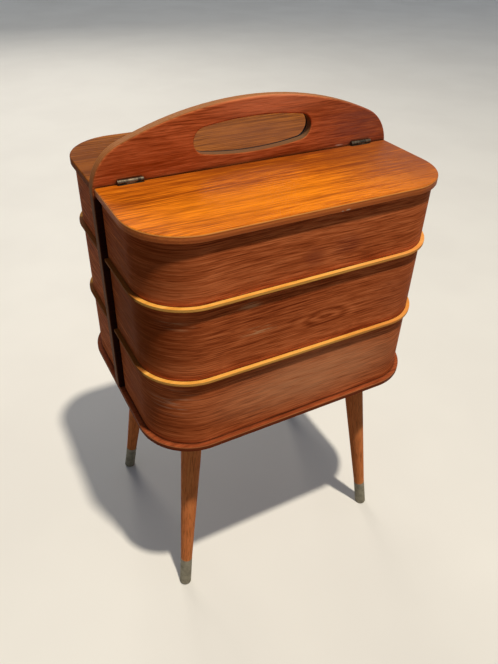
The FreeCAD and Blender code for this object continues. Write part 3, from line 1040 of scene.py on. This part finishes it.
LID_TEAK = Wood(
    name="lid_teak", dark=(0.30, 0.058, 0.003), body=(0.62, 0.142, 0.006), light=(0.88, 0.235, 0.010),
    band=0.016, line=0.0046, fibre=0.0017, fleck=26.0, wander=0.003, contrast=1.4,
    shares=(0.5, 0.7, 1.1, 0.3), pores=0.4, roughness=0.42, gloss=0.04, bare=(0.88, 0.46, 0.15),
    plies=Plies(Stack.UPRIGHT, 1.9 * MM, 0.4935, (0.86, 0.235, 0.070), (0.68, 0.165, 0.048)),
    # Painted sheen: a bright band over the front left of the lid.
    marks=(Mark((-0.045, -0.090, 0.5), (0.150, 0.045, 0.05), (0.98, 0.27, 0.004), 0.5),
           Mark((0.020, -0.010, 0.5), (0.230, 0.052, 0.05), (0.24, 0.044, 0.005), 0.95),
           # Painted reflection: the right end of the lid greyer and darker.
           Mark((0.185, -0.060, 0.5), (0.165, 0.150, 0.05), (0.25, 0.066, 0.022), 0.95),
           Mark((0.0285, -0.130, 0.4946), (0.0036, 0.003, 0.0010), (0.86, 0.66, 0.46), 0.9, 0.0),
           Mark((0.0225, -0.130, 0.4942), (0.0020, 0.003, 0.0008), (0.86, 0.66, 0.46), 0.7, 0.0)),
    # Painted highlight along the top arris of the lid's edge, and painted shade along the edge's lower
    # part.
    tinted_spans=(TintedSpan((0.0, -0.075, 0.5005), (0.2, 0.1, 0.0008), Face.SAWN, (0.95, 0.46, 0.11), 0.65),
            TintedSpan((0.0, -0.075, 0.4950), (0.2, 0.1, 0.0020), Face.SAWN, (0.42, 0.095, 0.026), 0.5)),
)
# Painted shade: the rear lid is the same teak as the front lid, made darker and duller.
SHADED_REAR_LID_TEAK = Wood(
    name="rear_lid_teak_painted_shade", dark=(0.12, 0.032, 0.003), body=(0.23, 0.064, 0.008), light=(0.36, 0.112, 0.016),
    band=0.016, line=0.0046, fibre=0.0022, fleck=26.0, wander=0.003, contrast=2.3,
    shares=(0.5, 0.8, 0.8, 0.3), shift=40.0, pores=0.4, gloss=0.01,
    plies=Plies(Stack.UPRIGHT, 1.4 * MM, 0.4935, (0.46, 0.125, 0.040), (0.30, 0.076, 0.024)),
    marks=(Mark((0.05, 0.07, 0.50), (0.12, 0.08, 0.05), (0.22, 0.072, 0.030), 0.6, 0.0),
           Mark((-0.15, 0.06, 0.50), (0.08, 0.10, 0.05), (0.16, 0.034, 0.0), 0.6, 0.0)),
)
WALL_TEAK = Wood(
    name="wall_teak", dark=(0.26, 0.042, 0.009), body=(0.60, 0.131, 0.034), light=(0.88, 0.238, 0.074),
    grain=Grain.ROUND_THE_BEND, band=0.020, line=0.0042, fibre=0.0015, fleck=24.0, wander=0.003,
    contrast=1.05, shares=(0.45, 0.40, 1.20, 0.40), pores=0.35, gloss=0.008, bare=(0.66, 0.32, 0.15),
    figures=(Figure((0.021, -0.126, 0.379), (0.052, 0.04, 0.017), 2.6, 0.16),
             Figure((-0.060, -0.126, 0.300), (0.070, 0.04, 0.015), 2.2, 0.12)),
    marks=(Mark((-0.146, -0.112, 0.318), (0.040, 0.036, 0.026), (0.86, 0.46, 0.26), 0.5, 1.0),
           Mark((-0.055, -0.126, 0.386), (0.026, 0.020, 0.008), (0.90, 0.45, 0.20), 0.85, 1.0),
           Mark((-0.066, -0.126, 0.4165), (0.016, 0.020, 0.005), (0.90, 0.45, 0.20), 0.65, 0.8),
           Mark((-0.140, -0.118, 0.410), (0.026, 0.030, 0.008), (0.90, 0.46, 0.22), 0.8, 0.9),
           # Painted shade: the left bends of the top and middle walls darker.
           Mark((-0.155, -0.095, 0.470), (0.062, 0.062, 0.055), (0.24, 0.040, 0.006), 0.75),
           Mark((-0.155, -0.095, 0.385), (0.066, 0.066, 0.050), (0.20, 0.030, 0.004), 0.8),
           Mark((0.000, -0.126, 0.451), (0.018, 0.020, 0.015), (0.22, 0.034, 0.018), 0.55, 0.4),
           Mark((0.036, -0.126, 0.456), (0.026, 0.020, 0.015), (0.22, 0.034, 0.018), 0.6, 0.4),
           # Painted light: the middle of the bottom wall lighter, as if lit from the floor below.
           Mark((0.020, -0.126, 0.304), (0.170, 0.030, 0.050), (0.94, 0.40, 0.18), 0.65),
           Mark((0.130, -0.120, 0.385), (0.080, 0.040, 0.045), (0.32, 0.072, 0.030), 0.5),
           # Painted shade: the left bend of the bottom wall and the left ends of the walls darker.
           Mark((-0.160, -0.080, 0.285), (0.060, 0.075, 0.060), (0.26, 0.050, 0.010), 0.5),
           Mark((-0.166, -0.055, 0.385), (0.030, 0.115, 0.150), (0.22, 0.046, 0.006), 0.8)),
)
BOARD_TEAK = Wood(
    name="board_teak", dark=(0.20, 0.032, 0.006), body=(0.50, 0.110, 0.030), light=(0.74, 0.195, 0.062),
    band=0.018, line=0.0044, fibre=0.0016, fleck=30.0, wander=0.003, contrast=1.1,
    shares=(0.4, 0.5, 1.1, 0.2), pores=0.35, wear=0.7,
    plies=Plies(Stack.ACROSS, 1.7 * MM, -0.006, (0.42, 0.17, 0.055), (0.26, 0.09, 0.026)),
    marks=(Mark((0.020, -0.006, 0.558), (0.095, 0.006, 0.024), (0.80, 0.25, 0.110), 0.7),
           Mark((0.135, -0.006, 0.525), (0.078, 0.02, 0.047), (0.25, 0.070, 0.048), 0.8, 0.4),
           Mark((-0.110, -0.006, 0.512), (0.090, 0.02, 0.036), (0.32, 0.050, 0.005), 0.65, 0.5),
           Mark((0.020, -0.006, 0.503), (0.120, 0.02, 0.014), (0.30, 0.048, 0.006), 0.55, 0.5),
           Mark((0.104, -0.006, 0.5032), (0.007, 0.02, 0.0012), (0.90, 0.58, 0.42), 0.9, 0.5)),
    tinted_spans=(TintedSpan((0.0, 0.0, 0.530), (0.170, 0.02, 0.035), Face.SAWN, (0.31, 0.130, 0.036), 0.6),
            # Board faces near the ends, below the lids: near-black dark stain that also paints the deep
            # shade of the gap there; the end faces get painted shade.
            TintedSpan((0.160, 0.0, 0.374), (0.010, 0.02, 0.1185), Face.FLAT, (0.016, 0.004, 0.003), 0.95),
            TintedSpan((0.167, 0.0, 0.374), (0.003, 0.02, 0.1185), Face.SAWN, (0.16, 0.060, 0.024), 0.8),
            # Painted shade on the inner faces of the hand hole, and a painted shadow line along its rear
            # edge.
            TintedSpan((0.0, 0.0, 0.5288), (0.068, 0.02, 0.0195), Face.SAWN, (0.15, 0.070, 0.027), 0.88),
            TintedSpan((0.0, 0.0044, 0.5288), (0.068, 0.0022, 0.0195), Face.SAWN, (0.010, 0.004, 0.002), 0.95)),
)
BASE_TEAK = Wood(
    name="base_teak", dark=(0.15, 0.030, 0.008), body=(0.38, 0.084, 0.025), light=(0.52, 0.130, 0.040),
    line=0.0046, fibre=0.0018, fleck=30.0, contrast=0.8, pores=0.35, bare=(0.72, 0.30, 0.13), wear=0.8,
    plies=Plies(Stack.UPRIGHT, 1.5 * MM, 0.2555, (0.36, 0.080, 0.025), (0.27, 0.056, 0.019)),
    # Painted highlight along the top arris of the base's edge, and painted shade along the edge's lower
    # part.
    tinted_spans=(TintedSpan((0.0, 0.0, 0.2611), (0.2, 0.2, 0.0008), Face.SAWN, (0.84, 0.32, 0.110), 0.6),
            TintedSpan((0.0, 0.0, 0.2570), (0.2, 0.2, 0.0022), Face.SAWN, (0.16, 0.030, 0.008), 0.7)),
)
LIP_PLY = Wood(
    name="lip_ply", dark=(0.66, 0.25, 0.028), body=(0.93, 0.43, 0.072), light=(0.98, 0.56, 0.14),
    band=0.030, line=0.0055, contrast=0.8, pores=0.2, gloss=0.01, wear=0.2, gap_shading=0.0,
    plies=Plies(Stack.UPRIGHT, 1.0 * MM, 0.3431, (1.0, 0.50, 0.120), (0.90, 0.38, 0.080)),
    marks=(Mark((0.170, -0.130, 0.385), (0.170, 0.100, 0.2), (0.80, 0.24, 0.060), 0.7),),
    # Painted shade: both ends of the lips darker brown, faces and edges alike.
    tinted_spans=(TintedSpan((0.166, 0.0, 0.385), (0.010, 0.090, 0.2), Face.FLAT, (0.24, 0.062, 0.012), 0.9),
            TintedSpan((0.166, 0.0, 0.385), (0.010, 0.090, 0.2), Face.SAWN, (0.22, 0.052, 0.010), 0.9)),
)
INNER_WOOD = Wood(
    name="inner_wood", dark=(0.42, 0.16, 0.050), body=(0.68, 0.31, 0.105), light=(0.80, 0.42, 0.16),
    contrast=0.8, pores=0.35, roughness=0.55, wear=0.2,
)
# Near-black: dark stain on the recessed packing strips, and painted shade deep in the gap where they sit.
DARK_STAIN_AND_GAP_SHADE = Wood(
    name="dark_stain_and_gap_shade", dark=(0.010, 0.004, 0.002), body=(0.022, 0.008, 0.004),
    light=(0.045, 0.016, 0.008), contrast=0.8, pores=0.35, roughness=0.6, gloss=0.03, wear=0.0,
)
FERRULE_METAL = AgedMetal("ferrule_metal", clean=(0.36, 0.31, 0.21), tarnish=(0.24, 0.21, 0.14),
                          roughness=0.6, metallic=0.25, rubbed=0.3)
HINGE_METAL = AgedMetal("hinge_metal", clean=(0.20, 0.15, 0.09), tarnish=(0.02, 0.015, 0.010),
                        cloud=0.004, scratches=(2200.0, 180.0, 180.0), rubbed=0.4)
BOLT_STEEL = AgedMetal("bolt_steel", clean=(0.50, 0.49, 0.46), tarnish=(0.26, 0.25, 0.22), cloud=0.006)
SCREW_BRASS = AgedMetal("screw_brass", clean=(0.60, 0.46, 0.22), tarnish=(0.25, 0.18, 0.08), cloud=0.002)


# ---- sub-assemblies --------------------------------------------------------------------------


@dataclass
class CentreBody:
    """Centre board and base plate, with the screws that hold the board on the base.

    Attributes:
        workshop: The workshop with the finishes.
        screw: Pattern of the wood screws.
        board_rounding: Width of the board's rounded edges.
        base_rounding: Width of the base plate's rounded edges.
        screw_spacing: Distance from screw to screw, along the board.
        screw_count: Number of screws.
    """

    workshop: Workshop
    screw: Screw
    board_rounding: float = 0.7 * MM
    base_rounding: float = 0.9 * MM
    screw_spacing: float = 80 * MM
    screw_count: int = 4

    def build(self) -> None:
        """Dress the two boards and set the screws in the underside of the base."""
        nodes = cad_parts
        self.workshop.dress(nodes["handle_board"], BOARD_TEAK, self.board_rounding)
        self.workshop.dress(nodes["base_plate"], BASE_TEAK, self.base_rounding)
        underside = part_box("base_plate")[0].z
        first = -self.screw_spacing * (self.screw_count - 1) / 2
        places = [Vector((first + self.screw_spacing * k, 0, underside)) for k in range(self.screw_count)]
        heads = self.screw.set_in("board_screws", places, Vector((0, 0, -1)))
        self.workshop.dress(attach(heads, "box_frame"), BOLT_STEEL)


@dataclass
class BottomTray:
    """Fixed tray of one half, with its packing strip, its wall's screws and the leg blocks' screws.

    Attributes:
        workshop: The workshop with the finishes.
        screw: Pattern of the wood screws.
        half: The half of the box that it belongs to.
        rounding: Width of the rounded edges.
        screw_places: Places of the back wall's screws along the front half.
        leg_centre: Distance of a leg block from the middle of the box, along X and along Y.
        leg_screw_offset: Distance of a block's screws from its middle, along X and along Y.
    """

    workshop: Workshop
    screw: Screw
    half: Half
    rounding: float = 0.5 * MM
    screw_places: tuple[float, ...] = (-95 * MM, 5 * MM, 105 * MM)
    leg_centre: tuple[float, float] = (107.5 * MM, 78 * MM)
    leg_screw_offset: float = 14 * MM

    def build(self) -> None:
        """Dress the tray and set its screws."""
        word = self.half.word
        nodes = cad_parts
        self.workshop.dress(nodes[f"{word}_bottom_tray_bent_wall"], WALL_TEAK, self.rounding)
        # Packing strip near-black: dark stain, and painted shade of its deep gap.
        self.workshop.dress(nodes[f"{word}_packing_strip"], DARK_STAIN_AND_GAP_SHADE, self.rounding)
        for part in ("bottom_tray_back_wall", "bottom_tray_pivot_block"):
            self.workshop.dress(nodes[f"{word}_{part}"], INNER_WOOD, self.rounding)
        self._wall_screws()
        self._leg_screws()

    def _wall_screws(self) -> None:
        """Screws through the back wall and the packing strip into the board."""
        low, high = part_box("front_bottom_tray_back_wall")
        height = (low.z + high.z) / 2
        places = [self.half.placed(x, low.y, height) for x in self.screw_places]
        heads = self.screw.set_in(f"{self.half.word}_tray_screws", places, self.half.placed(0, -1, 0))
        self.workshop.dress(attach(heads, "box_frame"), BOLT_STEEL)

    def _leg_screws(self) -> None:
        """Screws down through the base into the blocks of the legs."""
        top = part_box("base_plate")[1].z
        x, y = self.leg_centre
        step = self.leg_screw_offset
        places = [self.half.placed(side * x + step * k, -y + step * k, top)
                  for side in (-1, 1) for k in (-1, 1)]
        heads = self.screw.set_in(f"{self.half.word}_leg_block_screws", places, Vector((0, 0, 1)))
        self.workshop.dress(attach(heads, "box_frame"), BOLT_STEEL)


@dataclass
class SwingingTray:
    """Upper tray of one half: bottom with its lip, bent wall, back wall and pivot block.

    Attributes:
        workshop: The workshop with the finishes.
        half: The half of the box that it belongs to.
        tier: Its place in the stack, "middle" or "top".
        rounding: Width of the rounded edges of walls and block.
        lip_rounding: Width of the rounded edges of the bottom.
        lip_segments: Number of steps in that rounding.
    """

    workshop: Workshop
    half: Half
    tier: str
    rounding: float = 0.5 * MM
    lip_rounding: float = 1.3 * MM
    lip_segments: int = 3

    def build(self) -> None:
        """Dress the four pieces of the tray."""
        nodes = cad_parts
        stem = f"{self.half.word}_{self.tier}_tray"
        self.workshop.dress(nodes[f"{stem}_bottom"], LIP_PLY, self.lip_rounding,
                            self.lip_segments)
        self.workshop.dress(nodes[f"{stem}_bent_wall"], WALL_TEAK, self.rounding)
        self.workshop.dress(nodes[f"{stem}_back_wall"], INNER_WOOD, self.rounding)
        self.workshop.dress(nodes[f"{stem}_pivot_block"], INNER_WOOD, self.rounding)


@dataclass
class Lid:
    """Lid of one half, with its two hinges and their screws.

    Attributes:
        workshop: The workshop with the finishes.
        screw: Pattern of the hinge screws.
        half: The half of the box that it belongs to.
        rounding: Width of the lid's rounded edges.
        hinge_centre: Distance of a hinge from the middle of the box, along the board.
        screw_offset: Distance of a leaf's screws from the middle of the hinge.
        leaf_thickness: Thickness of a hinge leaf.
    """

    workshop: Workshop
    screw: Screw
    half: Half
    rounding: float = 0.6 * MM
    hinge_centre: float = 131 * MM
    screw_offset: float = 8 * MM
    leaf_thickness: float = 1 * MM

    def build(self) -> None:
        """Dress the lid and its hinges and set the hinge screws."""
        word = self.half.word
        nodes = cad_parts
        # The rear lid takes the darker copy of the lid's teak: painted shade.
        wood = LID_TEAK if self.half is Half.FRONT else SHADED_REAR_LID_TEAK
        self.workshop.dress(nodes[f"{word}_lid"], wood, self.rounding)
        for part in ("lid_hinge_leaves", "board_hinge_leaves", "hinge_pins"):
            self.workshop.dress(nodes[f"{word}_{part}"], HINGE_METAL)
        low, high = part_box("front_lid")
        height = (low.z + high.z) / 2
        spots = [side * self.hinge_centre + turn * self.screw_offset
                 for side in (-1, 1) for turn in (-1, 1)]
        board_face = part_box("front_board_hinge_leaves")[1].y - self.leaf_thickness
        self._leaf_screws("board_leaf_screws", "box_frame", board_face, -1, spots, height)
        lid_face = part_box("front_lid_hinge_leaves")[0].y + self.leaf_thickness
        self._leaf_screws("lid_leaf_screws", f"{word}_lid", lid_face, 1, spots, height)

    def _leaf_screws(self, name: str, body: str, face: float, facing: int, spots: list[float],
                     height: float) -> None:
        """Set the screws of one pair of leaves.

        Args:
            name: Name of the piece, after the half's.
            body: Body that the screws ride on.
            face: Y of the leaves' free face in the front half.
            facing: -1 where the heads face the front, 1 where they face the board.
            spots: Places of the screws along the board.
            height: Height of the screws.
        """
        places = [self.half.placed(x, face, height) for x in spots]
        heads = self.screw.set_in(f"{self.half.word}_{name}", places, self.half.placed(0, facing, 0))
        self.workshop.dress(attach(heads, body), SCREW_BRASS)


@dataclass
class Pivots:
    """The two long bolts on which the upper trays swing, and their nuts.

    Attributes:
        workshop: The workshop with the finishes.
        rounding: Width of the rounded edges.
    """

    workshop: Workshop
    rounding: float = 0.3 * MM

    def build(self) -> None:
        """Dress bolts and nuts."""
        for name in ("front_pivot_bolt", "rear_pivot_bolt", "pivot_nuts"):
            self.workshop.dress(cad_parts[name], BOLT_STEEL, self.rounding)


@dataclass
class Legs:
    """Four splayed legs with their blocks and metal ferrules.

    Attributes:
        workshop: The workshop with the finishes.
        foot: Distance of a foot from the middle of the box, along X and along Y.
        head: The same for the upper end of the leg's axis, and the height of that end.
        rounding: Width of the blocks' rounded edges.
        shifts: Moves each leg's pattern, so that the legs differ.
    """

    workshop: Workshop
    foot: tuple[float, float] = (140 * MM, 109.5 * MM)
    head: tuple[float, float, float] = (107.5 * MM, 78 * MM, 255.5 * MM)
    rounding: float = 0.5 * MM
    shifts: tuple[float, ...] = (2.0, 9.0, 17.0, 31.0)

    def build(self) -> None:
        """Dress the legs, each with grain along its own axis."""
        names = ("front_left", "front_right", "rear_left", "rear_right")
        sides = ((-1, -1), (1, -1), (-1, 1), (1, 1))
        for name, side, shift in zip(names, sides, self.shifts):
            self.workshop.dress(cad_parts[f"leg_{name}"], self._wood(name, side, shift))
            self.workshop.dress(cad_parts[f"leg_block_{name}"], INNER_WOOD, self.rounding)
        self.workshop.dress(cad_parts["leg_ferrules"], FERRULE_METAL)

    def _wood(self, name: str, side: tuple[int, int], shift: float) -> Wood:
        """Teak whose grain runs up one leg.

        Args:
            name: Name of the leg.
            side: Sign of its X and of its Y.
            shift: Moves the pattern, so that the legs differ.

        Returns:
            The finish of the leg.
        """
        axis = Vector((side[0] * (self.head[0] - self.foot[0]), side[1] * (self.head[1] - self.foot[1]),
                       self.head[2]))
        upright = axis.rotation_difference(Vector((0, 0, 1))).to_euler()
        return Wood(
            name=f"leg_teak_{name}", dark=(0.42, 0.115, 0.030), body=(0.86, 0.252, 0.072),
            light=(0.96, 0.36, 0.11), grain=Grain.UP_THE_LEG, lean=tuple(upright), shift=shift,
            band=0.012, line=0.0045, fibre=0.0020, wander=0.003, contrast=0.55, wear=0.4, roughness=0.42,
        )


# ---- studio ----------------------------------------------------------------------------------


@dataclass(frozen=True)
class Lamp:
    """Round soft lamp that points at the middle of the box.

    Attributes:
        name: Name of the lamp.
        azimuth: Degrees from straight in front, positive to the right.
        elevation: Degrees above level.
        distance: Distance from the middle of the box.
        size: Diameter of its disk.
        level: Strength of its light on the box.
        colour: Colour of its light.
    """

    name: str
    azimuth: float
    elevation: float
    distance: float
    size: float
    level: float
    colour: Colour

    def hang(self, middle: Triple) -> None:
        """Put the lamp up.

        Its power grows with the square of its distance, so that its level alone sets the light.

        Args:
            middle: The point that it lights at its level.
        """
        azimuth, elevation = math.radians(self.azimuth), math.radians(self.elevation)
        across = math.cos(elevation)
        towards = Vector((math.sin(azimuth) * across, -math.cos(azimuth) * across, math.sin(elevation)))
        light = bpy.data.lights.new(self.name, "AREA")
        light.shape = "DISK"
        light.size = self.size
        light.color = self.colour
        light.energy = self.level * math.pi ** 2 * self.distance ** 2
        lamp = bpy.data.objects.new(self.name, light)
        lamp.location = Vector(middle) + towards * self.distance
        lamp.rotation_euler = (-towards).to_track_quat("-Z", "Y").to_euler()
        bpy.context.scene.collection.objects.link(lamp)


MAIN_LAMP = Lamp("main_lamp", 9.5, 73.0, 4.0, 0.18, 0.90, (1.0, 0.95, 0.85))
REAR_LAMP = Lamp("rear_lamp", 176.0, 28.0, 3.2, 1.6, 0.26, (1.0, 0.97, 0.92))


@dataclass
class Studio:
    """Pale floor, a main lamp high in front, a weak one behind, an even surround and the camera.

    Attributes:
        workshop: The workshop with the finishes.
        lamps: The lamps.
        floor_size: Side of the square floor.
        surround: Colour of the even light from all round.
        surround_level: Strength of that light.
        backdrop: Colour that the camera and reflections see beyond the floor.
        camera_place: Place of the camera.
        camera_heading: Degrees to the right of straight ahead.
        camera_pitch: Degrees below level.
        camera_roll: Degrees by which the camera's right side is raised.
        camera_lens: Focal length in millimetres.
        camera_sensor: Size of the sensor in millimetres.
        camera_range: How far the camera sees, in metres.
        middle: Point of the box that the lamps are aimed at.
    """

    workshop: Workshop
    lamps: tuple[Lamp, ...] = (MAIN_LAMP, REAR_LAMP)
    floor_size: float = 30.0
    surround: Colour = (0.79, 0.94, 1.18)
    surround_level: float = 0.155
    backdrop: Colour = (0.60, 0.64, 0.70)
    camera_place: Triple = (-0.2856, -0.5187, 0.7195)
    camera_heading: float = 29.14
    camera_pitch: float = 36.46
    camera_roll: float = 1.84
    camera_lens: float = 32.24
    camera_sensor: float = 36.0
    camera_range: float = 60.0
    middle: Triple = (0.0, 0.0, 0.38)

    def build(self) -> None:
        """Set up everything round the box."""
        self._floor()
        for lamp in self.lamps:
            lamp.hang(self.middle)
        self._surround()
        self._camera()
        bpy.context.scene.view_settings.view_transform = "Standard"

    def _floor(self) -> None:
        """Wide level floor under the feet."""
        bpy.ops.object.select_all(action="DESELECT")
        bpy.ops.mesh.primitive_plane_add(size=self.floor_size, location=(0, 0, 0))
        floor = bpy.context.object
        floor.name = "studio_floor"
        self.workshop.dress(floor, PaleFloor())

    def _surround(self) -> None:
        """Even light from all round; what the camera and reflections see is the pale backdrop."""
        world = bpy.data.worlds.new("surround")
        bpy.context.scene.world = world
        graph = Graph(world)
        even, backdrop = graph.add("ShaderNodeBackground"), graph.add("ShaderNodeBackground")
        even.inputs["Color"].default_value = (*self.surround, 1.0)
        even.inputs["Strength"].default_value = self.surround_level
        backdrop.inputs["Color"].default_value = (*self.backdrop, 1.0)
        mix = graph.add("ShaderNodeMixShader")
        graph.feed(mix.inputs[0], graph.seen())
        graph.feed(mix.inputs[1], even.outputs[0])
        graph.feed(mix.inputs[2], backdrop.outputs[0])
        output = graph.add("ShaderNodeOutputWorld")
        graph.feed(output.inputs["Surface"], mix.outputs[0])

    def _camera(self) -> None:
        """Camera in front and to the left, looking down on the box."""
        heading, pitch, roll = (math.radians(angle) for angle in
                                (self.camera_heading, self.camera_pitch, self.camera_roll))
        ahead = Vector((math.sin(heading) * math.cos(pitch), math.cos(heading) * math.cos(pitch),
                        -math.sin(pitch)))
        right = Vector((math.cos(heading), -math.sin(heading), 0))
        up = right.cross(ahead)
        rolled_right = right * math.cos(roll) + up * math.sin(roll)
        rolled_up = up * math.cos(roll) - right * math.sin(roll)
        turn = Matrix((rolled_right, rolled_up, -ahead)).transposed().to_4x4()
        data = bpy.data.cameras.new("camera")
        data.sensor_width = self.camera_sensor
        data.lens = self.camera_lens
        data.clip_end = self.camera_range
        camera = bpy.data.objects.new("camera", data)
        camera.matrix_world = Matrix.Translation(self.camera_place) @ turn
        bpy.context.scene.collection.objects.link(camera)
        bpy.context.scene.camera = camera


def main() -> None:
    """Build the sub-assemblies in order, then the studio."""
    logging.basicConfig(level=logging.INFO, format="%(name)s %(message)s")
    workshop = Workshop()
    wood_screw, hinge_screw = Screw(3.3 * MM, 0.45 * MM), Screw(1.9 * MM, 0.3 * MM)
    CentreBody(workshop, wood_screw).build()
    for half in Half:
        BottomTray(workshop, wood_screw, half).build()
        for tier in ("middle", "top"):
            SwingingTray(workshop, half, tier).build()
        Lid(workshop, hinge_screw, half).build()
    Pivots(workshop).build()
    Legs(workshop).build()
    wood_screw.put_away()
    hinge_screw.put_away()
    Studio(workshop).build()


if __name__ == "__main__":
    main()
